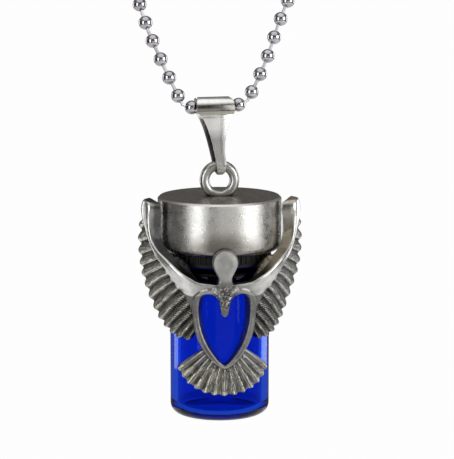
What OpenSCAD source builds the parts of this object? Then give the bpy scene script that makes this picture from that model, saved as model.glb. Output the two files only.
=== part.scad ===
// Keepsake urn pendant: a cobalt glass vial with a screw closure under a pewter cap, held in
// the arms of a cast winged figure, hung by a folded bail from a closed ball chain.
// The origin is under the connector at the nape, the front faces -Y and +Z is up.

/* [Chain] */
// Diameter of a chain ball
bead_d = 2.4; // [2:0.1:2.6]
// Distance between neighbouring balls along the chain
bead_pitch = 3.5; // [3.4:0.02:3.56]
// Diameter of the link wire inside the balls
wire_d = 0.6; // [0.4:0.05:0.7]
// Clear space between the link wire and the hole of a ball
wire_gap = 0.12; // [0.1:0.01:0.2]
// Wall of the connector at the nape
clasp_wall = 0.4; // [0.3:0.05:0.8]
// Clear space round the two balls that the connector holds
clasp_gap = 0.3; // [0.2:0.05:0.5]

/* [Bail] */
// Height from the middle of the hanging loop's wire to the middle of the roll
bail_reach = 9.9; // [8:0.1:13]
// Width of the roll at the top of the bail
bail_w = 6.7; // [6:0.1:7.2]
// Thickness of the folded strip
bail_wall = 0.45; // [0.35:0.05:0.7]
// Clear space between a ball and the roll
roll_gap = 0.35; // [0.3:0.05:0.6]
// Clear space between the hanging loop's wire and the fold at the foot
fold_gap = 0.385; // [0.35:0.01:0.5]
// Turn of the bail about the vertical, in degrees
bail_turn = 10; // [0:1:10]
// Sideways shift of the roll from the foot, to the viewer's left
bail_shift = 1.1; // [0:0.1:1.3]

/* [Cap] */
// Diameter of the pewter cap
cap_d = 21.5; // [21:0.1:26]
// Height of the pewter cap
cap_h = 9.2; // [7:0.1:9.6]
// Thickness of the top of the pewter cap
cap_top = 1.6; // [1.2:0.1:2.4]
// Bevel round the top edge
cap_bevel = 0.35; // [0.1:0.05:0.6]
// Rounding of the bottom edge
cap_round = 1.1; // [0.4:0.1:1.2]
// Diameter of the hanging loop, middle to middle of its wire
loop_d = 5.2; // [4.8:0.1:6]
// Thickness of the hanging loop's wire
loop_wire = 1.73; // [1.4:0.01:1.9]
// Depth that the loop is let into the top of the cap
loop_sink = 0.72; // [0.4:0.02:1]

/* [Closure] */
// Diameter of the screw closure inside the cap
closure_d = 18; // [17.4:0.1:18.2]
// Height of the screw closure
closure_h = 9.5; // [8.6:0.1:9.8]
// Thickness of the top of the screw closure
closure_top = 1.5; // [1:0.1:2]
// Number of grip grooves round the closure
closure_grooves = 60; // [36:1:72]
// Depth of a grip groove
groove_depth = 0.22; // [0.1:0.02:0.3]
// Clear space between nested pieces
fit_gap = 0.15; // [0.1:0.01:0.25]

/* [Vial] */
// Outer diameter of the glass body
vial_d = 17.25; // [16.6:0.05:17.6]
// Height of the glass body from its foot to the start of its shoulder
body_h = 26.75; // [25.6:0.05:32]
// Thickness of the glass wall
glass_wall = 1.2; // [0.8:0.1:1.6]
// Thickness of the glass floor
glass_floor = 1.3; // [0.8:0.1:2]
// Height of the threaded neck above the shoulder
neck_h = 8.2; // [7.8:0.1:9]
// Outer diameter of the neck under its thread
neck_d = 13.2; // [12.6:0.1:13.4]
// Diameter of the mouth
mouth_d = 9; // [7:0.1:9.6]
// Outer diameter over the thread
thread_d = 14.5; // [13.8:0.1:14.6]
// Height of one turn of the thread
thread_pitch = 2.5; // [2:0.1:3]
// Rounding of the glass foot
foot_round = 0.55; // [0.2:0.05:1]

/* [Figure] */
// Clear space between the casting and the glass
figure_gap = 0.22; // [0.15:0.01:0.4]
// Clear space between the casting and the pewter cap
cap_clear = 0.35; // [0.25:0.05:0.6]
// Thickness of the casting at its ridges
casting_t = 2; // [1.6:0.1:2.4]
// Reach of a wing round the vial, measured along its outer face from the middle of the front
wing_reach = 18.3; // [17:0.1:19.5]
// Height of a wing
wing_h = 24.8; // [23.6:0.1:26]
// Height of the wing's tip above the top of the cap
wing_rise = 0.8; // [0:0.1:2]
// Angle from the front at which a wing leaves the curve of the vial, in degrees
wing_leave = 60; // [50:1:65]
// Number of feathers on a wing
feather_count = 13; // [9:1:15]
// Depth of the notch between two feather tips
tip_notch = 0.6; // [0.3:0.05:1]
// Depth of the grooves between feathers
groove = 0.75; // [0.4:0.05:1]
// Half width of the arm at the shoulder
arm_half = 1.7; // [1.3:0.1:2]
// Width of the heart over its frame
heart_w = 11.4; // [10:0.1:12.4]
// Height of the heart over its frame
heart_h = 14.4; // [13:0.1:15]
// Depth of the heart's front edge over its back
heart_depth = 2.3; // [1.9:0.1:2.8]
// Distance from the top of the cap down to the top of the heart
heart_drop = 14.15; // [13.8:0.05:15]
// Diameter of the head
head_d = 4.6; // [4:0.1:5]
// Thickness of the head
head_t = 1.6; // [1.2:0.1:2]
// Distance from the top of the cap down to the middle of the head
head_drop = 9.8; // [9.4:0.1:10.4]
// Distance from the top of the heart down to the lowest tail feather
tail_drop = 19.3; // [18:0.1:20]
// Reach of the tail to each side, measured along its outer face
tail_reach = 10.2; // [8.5:0.1:10.8]
// Number of tail feathers on each side of the middle one
tail_count = 6; // [4:1:8]
// Thickness of the tail at its ridges
tail_t = 1.45; // [1.2:0.05:1.8]

/* [Hidden] */
eps = 0.01;
steel = "silver";
pewter = "dimgray";

// Places along the vertical, measured from the top of the cap
bead_r = bead_d / 2;
loop_mid = (loop_d + loop_wire) / 2 - loop_sink;
loop_top = loop_mid + loop_d / 2;
closure_z = -(cap_top + fit_gap);
closure_foot = closure_z - closure_h;
mouth_z = closure_z - closure_top - fit_gap;
shoulder_z = mouth_z - neck_h;
foot_z = shoulder_z - body_h;

// The bail's roll hangs on the chain at a fixed place, the loop hangs in the bail and the
// pendant on the loop, all in the frame of the whole necklace
clasp_r = bead_r + clasp_gap + clasp_wall;
roll_at = [0, -105, -165.955] + turned([-bail_shift, 0, 0]);
loop_at = roll_at - turned([-bail_shift, 0, bail_reach]);
pendant_at = loop_at - [0, 0, loop_top];
roll_r = bead_r + roll_gap + bail_wall;
fold_r = loop_wire / 2 + fold_gap + bail_wall;

// A vector of the bail's own frame, turned as the bail is
function turned(v) = [
    v.x * cos(bail_turn) - v.y * sin(bail_turn),
    v.x * sin(bail_turn) + v.y * cos(bail_turn),
    v.z
];

// Route of the chain: points of its right half from the nape down, the left half mirrored,
// and points beside the roll in the bail's own frame
CHAIN_SIDE = [
    [22, -3.5, 1], [43, -15, -4], [56, -35, -18], [57, -53, -40],
    [49, -67, -66], [36, -80, -96], [23, -91, -125], [16.5, -95.5, -139]
];
RIGHT_OF_ROLL = [
    [12.3, 2.9, 13.5], [11, 2.1, 10.35], [9.55, 1.35, 7.2], [7.85, 0.7, 4.1], [6.15, 0.15, 1.1],
    [4.6, 0, 0.25], [2.9, 0, -0.1]
];
LEFT_OF_ROLL = [
    [-10.35, 5.05, 13.4], [-9.25, 3.8, 10.3], [-8.1, 2.55, 7.1], [-6.75, 1.4, 3.9],
    [-5.45, 0.1, 0.75], [-3.95, 0, 0], [-2.2, 0, -0.25]
];

function flipped(p) = [-p.x, p.y, p.z];
function backwards(v) = [for (i = [len(v) - 1 : -1 : 0]) v[i]];

route = concat(
    [for (p = backwards(RIGHT_OF_ROLL)) roll_at + turned(p)],
    backwards(CHAIN_SIDE),
    [[0, 0, clasp_r]],
    [for (p = CHAIN_SIDE) flipped(p)],
    [for (p = LEFT_OF_ROLL) roll_at + turned(p)]
);

// Smooth curve through points
function curve_point(a, b, c, d, t) =
    0.5 * (2 * b + (c - a) * t + (2 * a - 5 * b + 4 * c - d) * t * t
        + (3 * b - a - 3 * c + d) * t * t * t);
function open_curve(v, steps) =
    let (n = len(v))
    concat(
        [for (i = [0 : n - 2], j = [0 : steps - 1])
            curve_point(v[max(i - 1, 0)], v[i], v[i + 1], v[min(i + 2, n - 1)], j / steps)],
        [v[n - 1]]
    );

// Joints of the chain, one between each two balls, at equal distances along the route from
// one side of the roll round to the other. The last ball hangs in the roll between them.
walk = open_curve(route, 12);
walk_sums = [for (i = 0, sum = 0; i < len(walk);
    sum = sum + (i < len(walk) - 1 ? norm(walk[i + 1] - walk[i]) : 0), i = i + 1) sum];
walk_table = [for (axis = [0 : 2]) [for (i = [0 : len(walk) - 1]) [walk_sums[i], walk[i][axis]]]];
walk_length = walk_sums[len(walk) - 1];
bead_count = 2 * floor(walk_length / bead_pitch / 2) + 1;
walk_pitch = walk_length / (bead_count - 1);
function walk_at(s) = [for (axis = [0 : 2]) lookup(s, walk_table[axis])];
joints = [for (i = [0 : bead_count - 1]) walk_at(i * walk_pitch)];
nape_joint = joints[floor(bead_count / 2)];

// Turns the Z axis onto a direction
module aimed(direction) {
    tilt = acos(direction.z / norm(direction));
    rotate([0, tilt, atan2(direction.y, direction.x)])
        children();
}

module bead() {
    hole_r = wire_d / 2 + wire_gap;
    rotate_extrude($fn = 40)
        difference() {
            circle(d = bead_d, $fn = 40);
            translate([hole_r - bead_d, -bead_d])
                square([bead_d, 2 * bead_d]);
        }
}

module chain_beads() {
    color(steel)
        for (i = [0 : bead_count - 1]) {
            here = joints[i];
            next = joints[(i + 1) % bead_count];
            translate((here + next) / 2)
                aimed(next - here)
                    bead();
        }
}

// A six sided wire through all joints, closed on itself
module chain_wire() {
    sides = 6;
    n = len(joints);
    plane = [0, 0.845, -0.534];
    points = [for (i = [0 : n - 1])
        let (along = joints[(i + 1) % n] - joints[(i + n - 1) % n])
        let (across = cross(along, plane) / norm(cross(along, plane)))
        let (up = cross(along, across) / norm(along))
        for (k = [0 : sides - 1])
            joints[i] + (across * cos(k * 360 / sides) + up * sin(k * 360 / sides)) * wire_d / 2];
    faces = [for (i = [0 : n - 1], k = [0 : sides - 1])
        let (a = i * sides + k, b = i * sides + (k + 1) % sides)
        let (c = ((i + 1) % n) * sides + k, d = ((i + 1) % n) * sides + (k + 1) % sides)
        each [[a, c, b], [b, c, d]]];
    color(steel)
        polyhedron(points, faces);
}

// Plain connector: a closed sleeve that keeps two balls behind its narrow ends
module chain_clasp() {
    room = bead_pitch / 2 + bead_r + clasp_gap;
    half = room + clasp_wall;
    room_r = bead_r + clasp_gap;
    end_r = wire_d / 2 + clasp_gap;
    color(steel)
        translate(nape_joint)
            rotate([0, 90, 0])
                rotate_extrude($fn = 48)
                    difference() {
                        polygon([
                            [0, -half], [clasp_r - clasp_wall, -half], [clasp_r, clasp_wall - half],
                            [clasp_r, half - clasp_wall], [clasp_r - clasp_wall, half], [0, half]
                        ]);
                        translate([0, -room])
                            square([room_r, 2 * room]);
                        translate([0, -half - 1])
                            square([end_r, 2 * half + 2]);
                    }
}

// Front outline of the bail from top to foot: height over the roll's middle as a share of the
// reach, half width as a share of half the roll's width, and share of the sideways shift
BAIL_OUTLINE = [
    [0.203, 0.84, 0], [0.17, 0.95, 0], [0.12, 1, 0], [-0.06, 1, 0], [-0.08, 0.93, 0.1],
    [-0.11, 0.76, 0.2], [-0.19, 0.6, 0.22], [-0.35, 0.46, 0.27], [-0.55, 0.35, 0.38],
    [-0.75, 0.295, 0.62], [-0.94, 0.27, 0.92], [-1.06, 0.25, 1], [-1.14, 0.19, 1],
    [-1.18, 0.12, 1]
];
outline_height = 0;
outline_half = 1;
outline_shift = 2;

// Outer face of a leaf: height over the roll's middle as a share of the reach, and distance
// from the middle plane as a share of the roll's radius
LEAF = [[0, 0.9], [-0.086, 0.905], [-0.16, 0.975], [-0.24, 1], [-0.45, 0.985], [-0.75, 0.92]];

// The whole space inside the strip's outer face, or inside its inner face
module bail_form(shrink, width) {
    foot = 0.97 * (fold_r - shrink);
    front = concat(
        [for (row = LEAF) [row.y * roll_r - shrink, row.x * bail_reach]],
        [[foot, -bail_reach]]
    );
    rear = [for (p = backwards(front)) [-p.x, p.y]];
    rotate([90, 0, 90]) {
        cylinder(r = roll_r - shrink, h = width, center = true, $fn = 64);
        translate([0, -bail_reach, 0])
            cylinder(r = fold_r - shrink, h = width, center = true, $fn = 64);
        linear_extrude(height = width, center = true)
            polygon(concat(front, rear));
    }
}

module bail_front() {
    right = [for (row = BAIL_OUTLINE)
        [row[outline_shift] * bail_shift + row[outline_half] * bail_w / 2,
            row[outline_height] * bail_reach]];
    left = [for (row = backwards(BAIL_OUTLINE))
        [row[outline_shift] * bail_shift - row[outline_half] * bail_w / 2,
            row[outline_height] * bail_reach]];
    rotate([90, 0, 0])
        linear_extrude(height = 4 * roll_r, center = true)
            polygon(concat(right, left));
}

module bail() {
    color(steel)
        translate(roll_at)
            rotate(bail_turn)
                intersection() {
                    difference() {
                        bail_form(0, 1.5 * bail_w);
                        bail_form(bail_wall, 1.6 * bail_w);
                    }
                    bail_front();
                }
}

// Everything below the bail is drawn from the middle of the cap's top
module at_pendant() {
    translate(pendant_at)
        children();
}

module cap_shell() {
    rotate_extrude($fn = 96)
        difference() {
            union() {
                polygon([
                    [0, 0], [cap_d / 2 - cap_bevel, 0], [cap_d / 2, -cap_bevel],
                    [cap_d / 2, cap_round - cap_h], [cap_d / 2 - cap_round, -cap_h], [0, -cap_h]
                ]);
                translate([cap_d / 2 - cap_round, cap_round - cap_h])
                    intersection() {
                        circle(r = cap_round, $fn = 48);
                        translate([0, -cap_round])
                            square(cap_round);
                    }
            }
            translate([-1, -cap_h - 1])
                square([closure_d / 2 + fit_gap + 1, cap_h + 1 - cap_top]);
        }
}

module hanging_loop() {
    translate([0, 0, loop_mid])
        rotate([90, 0, 0])
            rotate_extrude($fn = 72)
                translate([loop_d / 2, 0])
                    circle(d = loop_wire, $fn = 36);
}

module urn_cap() {
    color(pewter)
        at_pendant() {
            cap_shell();
            hanging_loop();
        }
}

module closure_outline() {
    difference() {
        circle(d = closure_d, $fn = 120);
        for (i = [0 : closure_grooves - 1])
            rotate(i * 360 / closure_grooves)
                translate([closure_d / 2 + groove_depth, 0])
                    circle(r = 2 * groove_depth, $fn = 16);
    }
}

module screw_cap() {
    plain_band = 0.5;
    color("black")
        at_pendant()
            translate([0, 0, closure_foot])
                difference() {
                    union() {
                        cylinder(d = closure_d, h = plain_band, $fn = 120);
                        linear_extrude(height = closure_h)
                            closure_outline();
                    }
                    translate([0, 0, -1])
                        cylinder(d = thread_d + 2 * fit_gap, h = closure_h - closure_top + 1, $fn = 96);
                }
}

// One half of a quarter ring for a rounded glass shoulder
module shoulder(r_neck, r_body) {
    round_r = r_body - r_neck;
    translate([r_neck, -round_r])
        intersection() {
            circle(r = round_r, $fn = 48);
            square(round_r + eps);
        }
    translate([0, -round_r])
        square([r_neck, round_r]);
}

module vial_profile() {
    body_r = vial_d / 2;
    neck_r = neck_d / 2;
    inner_r = body_r - glass_wall;
    mouth_r = mouth_d / 2;
    difference() {
        union() {
            translate([0, shoulder_z - eps])
                square([neck_r, neck_h + eps]);
            for (turn = [1, 2])
                translate([neck_r, mouth_z - turn * thread_pitch])
                    polygon([
                        [-0.5, -1], [thread_d / 2 - neck_r, -0.3], [thread_d / 2 - neck_r, 0.3],
                        [-0.5, 1]
                    ]);
            translate([0, shoulder_z])
                shoulder(neck_r, body_r);
            translate([0, foot_z + foot_round])
                square([body_r, body_h - foot_round - (body_r - neck_r) + eps]);
            translate([0, foot_z])
                square([body_r - foot_round, foot_round + eps]);
            translate([body_r - foot_round, foot_z + foot_round])
                circle(r = foot_round, $fn = 32);
        }
        translate([-1, shoulder_z - glass_wall - eps])
            square([mouth_r + 1, neck_h + glass_wall + 1]);
        translate([0, shoulder_z - glass_wall])
            shoulder(mouth_r, inner_r);
        translate([-1, foot_z + glass_floor])
            square([inner_r + 1, body_h - glass_floor - glass_wall - (inner_r - mouth_r) + eps]);
    }
}

module glass_vial() {
    color("mediumblue")
        at_pendant()
            rotate_extrude($fn = 96)
                vial_profile();
}

// The casting is laid out flat and then wrapped: s runs round the front from its middle,
// z is the height, lift is the distance out from the casting's back. The back clears the glass
// low down and the cap higher up, with a smooth flare between.
low_r = vial_d / 2 + figure_gap;
high_r = cap_d / 2 + cap_clear;
wrap_r = low_r + casting_t;
flare_top = -(cap_h + cap_clear);
flare_foot = flare_top - 0.4 * wing_h;
degree = 180 / PI;

function eased(t) = let (c = min(max(t, 0), 1)) c * c * (3 - 2 * c);
function back_r(z) = low_r + (high_r - low_r) * eased((z - flare_foot) / (flare_top - flare_foot));
function wrapped(s, z, lift) =
    let (angle = abs(s) / wrap_r * degree)
    let (bent = min(angle, wing_leave))
    let (straight = max(angle - wing_leave, 0) * wrap_r / degree)
    let (r = back_r(z) + lift)
    let (x = r * sin(bent) + straight * cos(wing_leave))
    let (y = straight * sin(wing_leave) - r * cos(bent))
    [s < 0 ? -x : x, y, z];

// A strip of casting along a path of [s, z, half width, thickness, skirt] stations. The profile
// runs across it as [share of the half width, share of the thickness over the back, share of
// the skirt, which widens the strip's foot on one side].
module strip(stations, profile, back) {
    n = len(profile);
    count = len(stations);
    points = [for (i = [0 : count - 1])
        let (ahead = stations[min(i + 1, count - 1)], behind = stations[max(i - 1, 0)])
        let (run = [ahead[0] - behind[0], ahead[1] - behind[1]])
        let (side = [-run.y, run.x] / norm(run), at = stations[i])
        for (p = profile)
            let (out = p.x * at[2] + p.z * at[4])
            wrapped(at[0] + side.x * out, at[1] + side.y * out, back + p.y * (at[3] - back))];
    walls = [for (i = [0 : count - 2], k = [0 : n - 1])
        let (a = i * n + k, b = i * n + (k + 1) % n)
        each [[a, b, a + n], [b, b + n, a + n]]];
    ends = [for (k = [1 : n - 2])
        each [[0, k + 1, k], [(count - 1) * n, (count - 1) * n + k, (count - 1) * n + k + 1]]];
    polyhedron(points, concat(walls, ends));
}

ROUND = [
    [-1, 0, 0], [-1, 0.7, 0], [-0.6, 0.95, 0], [0, 1, 0], [0.6, 0.95, 0], [1, 0.7, 0], [1, 0, 0]
];
// The arm is square edged above and rounds off towards the feathers below, where its foot is
// flared a little
LIMB = [
    [-1, 0, -0.3], [-1, 0.62, 0], [-0.7, 0.86, 0], [-0.2, 1, 0], [0.72, 1, 0], [1, 0.9, 0], [1, 0, 1]
];

// Each layer of the casting starts at its own small lift over the casting's back
tail_lift = 0.04 * casting_t;
fan_lift = 0.23 * casting_t;
plate_lift = 0.15 * casting_t;
arm_lift = 0.14 * casting_t;

// Point of a smooth line at a share of its length in list steps
function along_line(line, t) =
    let (v = open_curve(line, 8), at = t * (len(v) - 1), i = min(floor(at), len(v) - 2))
    v[i] + (v[i + 1] - v[i]) * (at - i);

// Across one feather: place, and height as a share of the way from groove to ridge
BLADE = [[0, 0], [0.14, 0.5], [0.4, 1], [0.62, 0.95], [0.86, 0.45]];
// Along a feather: place, and thickness as a share of the full one
QUILL = [[0, 0.95], [0.2, 1], [0.4, 1], [0.6, 1], [0.78, 1], [0.92, 0.96], [1, 0.8]];

// A fan of feathers as one sheet: rows run from the root line to the tip line and columns
// across the feathers, with a groove between each two and a notch at each tip
module fan(roots, tips, count, back, thick, depth, notch) {
    rows = len(QUILL);
    columns = concat(
        [for (k = [0 : count - 1], p = BLADE) [k + p.x, p.y, pow(abs(1 - 2 * p.x), 2.4)]],
        [[count, 0, 1]]
    );
    n = len(columns);
    function spot(c, q) =
        let (root = roots[c], tip = tips[c], cut = notch * columns[c][2] / norm(tip - root))
        root + (tip - root) * (1 - cut) * QUILL[q].x;
    front = [for (c = [0 : n - 1], q = [0 : rows - 1])
        let (at = spot(c, q))
        wrapped(at.x, at.y, (thick - depth * (1 - columns[c][1])) * QUILL[q].y)];
    rear = [for (c = [0 : n - 1], q = [0 : rows - 1])
        let (at = spot(c, q))
        wrapped(at.x, at.y, back)];
    half = n * rows;
    sheet = [for (c = [0 : n - 2], q = [0 : rows - 2])
        let (a = c * rows + q, b = a + rows)
        each [[a, a + 1, b], [b, a + 1, b + 1],
            [half + a, half + b, half + a + 1], [half + b, half + b + 1, half + a + 1]]];
    long_rims = [for (c = [0 : n - 2])
        let (a = c * rows, b = a + rows, e = a + rows - 1, f = b + rows - 1)
        each [[a, b, half + a], [b, half + b, half + a],
            [e, half + e, f], [f, half + e, half + f]]];
    short_rims = [for (q = [0 : rows - 2])
        let (a = q, b = (n - 1) * rows + q)
        each [[a, half + a, a + 1], [a + 1, half + a, half + a + 1],
            [b, b + 1, half + b], [b + 1, half + b + 1, half + b]]];
    polyhedron(concat(front, rear), concat(sheet, long_rims, short_rims));
}

// Places across a fan at which its columns stand, as shares from first to last feather
function fan_places(count) = concat(
    [for (k = [0 : count - 1], p = BLADE) (k + p.x) / count],
    [1]
);

// Lines that the feathers start and end on, as shares of the wing's reach and height,
// measured down from its tip
ROOT_LINE = [
    [0.78, 0.14], [0.74, 0.3], [0.61, 0.42], [0.5, 0.51], [0.43, 0.6], [0.36, 0.7],
    [0.3, 0.8], [0.27, 0.9]
];
TIP_LINE = [
    [0.95, 0.19], [0.98, 0.33], [0.97, 0.475], [0.995, 0.61], [0.975, 0.745], [0.86, 0.86],
    [0.7, 0.94], [0.53, 0.985], [0.36, 0.995]
];
function wing_point(share) = [share.x * wing_reach, wing_rise - share.y * wing_h];

module wing_feathers() {
    places = fan_places(feather_count);
    roots = [for (t = places) wing_point(along_line(ROOT_LINE, t))];
    tips = [for (t = places) wing_point(along_line(TIP_LINE, t))];
    fan(roots, tips, feather_count, fan_lift, casting_t, groove, tip_notch);
}

// The arm from the breast up along the wing to the rounded hand: shares of the wing's reach
// and height for its middle line, half width as a share of the arm's, thickness share and
// skirt as a share of the arm's half width
ARM = [
    [0.02, 0.607, 0.3, 0.95, 0], [0.12, 0.603, 0.42, 1, 0], [0.22, 0.608, 0.62, 1.05, 0],
    [0.295, 0.604, 0.9, 1.12, 0], [0.365, 0.578, 0.95, 1.16, 0], [0.43, 0.528, 0.78, 1.18, 0.05],
    [0.49, 0.475, 0.64, 1.18, 0.1], [0.56, 0.428, 0.52, 1.18, 0.15],
    [0.635, 0.385, 0.42, 1.18, 0.15], [0.705, 0.325, 0.36, 1.2, 0.15],
    [0.76, 0.245, 0.52, 1.22, 0.35], [0.795, 0.165, 0.82, 1.26, 0.55],
    [0.805, 0.115, 1, 1.28, 0.65], [0.804, 0.08, 0.98, 1.26, 0.65], [0.8, 0.05, 0.84, 1.22, 0.6],
    [0.796, 0.033, 0.56, 1.16, 0.5]
];
arm_s = 0;
arm_z = 1;
arm_width = 2;
arm_thick = 3;
arm_skirt = 4;

module arm() {
    stations = [for (row = ARM)
        let (p = wing_point([row[arm_s], row[arm_z]]))
        [p.x, p.y, row[arm_width] * arm_half, row[arm_thick] * casting_t,
            row[arm_skirt] * arm_half]];
    strip(open_curve(stations, 2), LIMB, arm_lift);
}

// Broad smooth shoulder between the arm and the heart
module shoulder_plate() {
    top = wing_point([0.33, 0.6]);
    foot = wing_point([0.32, 0.76]);
    strip([
        [top.x, top.y, 0.8 * arm_half, casting_t, 0],
        [(top.x + foot.x) / 2, (top.y + foot.y) / 2, 0.65 * arm_half, casting_t, 0],
        [foot.x, foot.y, 0.25 * arm_half, 0.9 * casting_t, 0]
    ], ROUND, plate_lift);
}

// Half of the heart from the cleft round to the point: outer and then inner edge,
// as shares of half the width and of the height
HEART = [
    [0, 0.175, 0, 0.36], [0.095, 0.065, 0.105, 0.33], [0.26, 0.015, 0.175, 0.16],
    [0.49, 0, 0.315, 0.095], [0.72, 0.04, 0.525, 0.08], [0.895, 0.115, 0.695, 0.13],
    [0.99, 0.225, 0.78, 0.235], [1, 0.38, 0.79, 0.38], [0.93, 0.55, 0.7, 0.545],
    [0.755, 0.705, 0.545, 0.69], [0.51, 0.845, 0.335, 0.815], [0.23, 0.95, 0.14, 0.905],
    [0, 1, 0, 0.945]
];
outer_s = 0;
outer_z = 1;
inner_s = 2;
inner_z = 3;

module heart_frame() {
    right = [for (row = HEART)
        [row[outer_s] * heart_w / 2, -row[outer_z] * heart_h,
            row[inner_s] * heart_w / 2, -row[inner_z] * heart_h]];
    half = open_curve(right, 2);
    last = len(half) - 1;
    ring = concat(half, [for (i = [last - 1 : -1 : 1])
        [-half[i][outer_s], half[i][outer_z], -half[i][inner_s], half[i][inner_z]]]);
    n = len(ring);
    // Across the frame: share of the way from inner to outer edge, share of the depth
    profile = [[0, 0], [0, 0.88], [0.22, 1], [0.78, 1], [1, 0.85], [1, 0]];
    m = len(profile);
    points = [for (edge = ring, p = profile)
        let (s = edge[inner_s] + (edge[outer_s] - edge[inner_s]) * p.x)
        let (z = edge[inner_z] + (edge[outer_z] - edge[inner_z]) * p.x)
        wrapped(s, z - heart_drop, p.y * heart_depth)];
    faces = [for (i = [0 : n - 1], k = [0 : m - 1])
        let (a = i * m + k, b = i * m + (k + 1) % m)
        let (c = ((i + 1) % n) * m + k, d = ((i + 1) % n) * m + (k + 1) % m)
        each [[a, b, c], [b, d, c]]];
    polyhedron(points, faces);
}

// The tail fan's root and tip arcs, at an angle from the middle
tail_open = 68;

module tail() {
    count = 2 * tail_count + 1;
    angles = [for (t = fan_places(count)) (1 - 2 * t) * tail_open];
    root_z = -heart_drop - 0.95 * heart_h;
    roots = [for (a = angles)
        [0.42 * tail_reach * sin(a), root_z + 0.32 * heart_h * (1 - cos(a))]];
    tips = [for (a = angles)
        [tail_reach * sin(a) / sin(tail_open),
            -heart_drop - tail_drop + 0.46 * tail_reach * (1 - cos(a)) / (1 - cos(tail_open))]];
    fan(roots, tips, count, tail_lift, tail_t, 0.75 * groove, 0.7 * tip_notch);
}

module head_and_neck() {
    back = -(back_r(-head_drop) + 0.05);
    face = 0.9 * head_d;
    neck_w = 0.5 * head_d;
    breast_z = -heart_drop - 0.05 * heart_h;
    hull() {
        translate([0, back, -head_drop])
            rotate([90, 0, 0])
                cylinder(d1 = head_d, d2 = face, h = head_t * 0.8, $fn = 28);
        translate([0, back - head_t * 0.8, -head_drop])
            rotate([90, 0, 0])
                cylinder(d1 = face, d2 = 0.6 * face, h = head_t * 0.2, $fn = 28);
        translate([0, back + 0.1, -head_drop - 0.55 * head_d])
            rotate([90, 0, 0])
                cylinder(d1 = neck_w, d2 = 0.85 * neck_w, h = head_t * 0.85, $fn = 20);
    }
    hull() {
        translate([0, back + 0.1, -head_drop - 0.5 * head_d])
            rotate([90, 0, 0])
                cylinder(d = 0.9 * neck_w, h = head_t * 0.8, $fn = 20);
        translate([0, -back_r(breast_z), breast_z])
            rotate([90, 0, 0])
                cylinder(d = 1.3 * neck_w, h = casting_t * 0.85, $fn = 20);
    }
}

// Rough ridges of the breast that run down into the heart's cleft
BREAST = [
    [0.26, 0.02, 0.42], [0.19, 0.055, 0.5], [0.13, 0.105, 0.48], [0.06, 0.165, 0.45], [0, 0.235, 0.34]
];

module breast() {
    for (side = [-1, 1], i = [0 : len(BREAST) - 2])
        hull()
            for (row = [BREAST[i], BREAST[i + 1]])
                translate(wrapped(side * row[0] * heart_w / 2, -heart_drop - row[1] * heart_h,
                    casting_t + 0.1))
                    sphere(r = row[2], $fn = 10);
}

module winged_figure() {
    color(pewter)
        at_pendant() {
            for (side = [0, 1])
                mirror([side, 0, 0]) {
                    wing_feathers();
                    arm();
                    shoulder_plate();
                }
            heart_frame();
            tail();
            head_and_neck();
            breast();
        }
}

chain_beads();
chain_wire();
chain_clasp();
bail();
urn_cap();
screw_cap();
glass_vial();
winged_figure();
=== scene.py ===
"""Keepsake urn pendant: pewter cap over a cobalt glass vial, cast winged figure, folded bail
and ball chain. Metres, +Z up, the front faces -Y, the origin is under the chain's connector.
"""

import math

import bmesh
import bpy
import numpy as np
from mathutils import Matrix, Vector


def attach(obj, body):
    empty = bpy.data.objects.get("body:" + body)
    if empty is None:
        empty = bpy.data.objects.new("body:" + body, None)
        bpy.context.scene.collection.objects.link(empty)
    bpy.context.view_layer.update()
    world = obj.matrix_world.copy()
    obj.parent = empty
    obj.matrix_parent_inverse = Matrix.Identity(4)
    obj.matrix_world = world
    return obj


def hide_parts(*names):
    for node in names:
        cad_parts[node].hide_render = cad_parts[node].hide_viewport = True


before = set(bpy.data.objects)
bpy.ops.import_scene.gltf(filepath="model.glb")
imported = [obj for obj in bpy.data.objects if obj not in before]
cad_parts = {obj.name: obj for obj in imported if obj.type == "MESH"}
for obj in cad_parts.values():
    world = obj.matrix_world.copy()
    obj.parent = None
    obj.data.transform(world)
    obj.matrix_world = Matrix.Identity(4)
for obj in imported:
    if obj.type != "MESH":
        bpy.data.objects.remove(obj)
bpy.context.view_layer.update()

MM = 0.001
# Middle of the cap's top, from which the pendant's heights are counted
PENDANT = Vector((0.0, -0.105, -0.1812))
# Middle of the bail's roll, about which the bail is drawn and turned
ROLL = Vector((-0.00108329, -0.105191, -0.165955))
BAIL_TURN = math.radians(10)


def put_all_down():
    """Leaves edit mode and selects nothing."""
    if bpy.context.mode != "OBJECT":
        bpy.ops.object.mode_set(mode="OBJECT")
    bpy.ops.object.select_all(action="DESELECT")


def take(piece):
    """Makes the piece the only selected and active one."""
    put_all_down()
    piece.select_set(True)
    bpy.context.view_layer.objects.active = piece


def open_up(piece, mode="VERT"):
    """Enters edit mode on the piece with nothing of its mesh selected."""
    take(piece)
    bpy.ops.object.mode_set(mode="EDIT")
    bpy.ops.mesh.select_mode(type=mode)
    bpy.ops.mesh.select_all(action="DESELECT")


def pick(piece, test, what="verts"):
    """Selects the corners, edges or faces whose middle passes the test, in edit mode."""
    mesh = bmesh.from_edit_mesh(piece.data)
    for part in getattr(mesh, what):
        if what == "verts":
            at = part.co
        elif what == "edges":
            at = (part.verts[0].co + part.verts[1].co) / 2
        else:
            at = part.calc_center_median()
        part.select_set(bool(test(at)))
    bmesh.update_edit_mesh(piece.data)


def apply_all(piece):
    """Applies the piece's modifiers in their order."""
    take(piece)
    for modifier in list(piece.modifiers):
        bpy.ops.object.modifier_apply(modifier=modifier.name)


def settle(piece):
    """The finished piece's object goes to the origin, and its place into its mesh."""
    take(piece)
    bpy.ops.object.transform_apply(location=True, rotation=True, scale=True)


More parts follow.
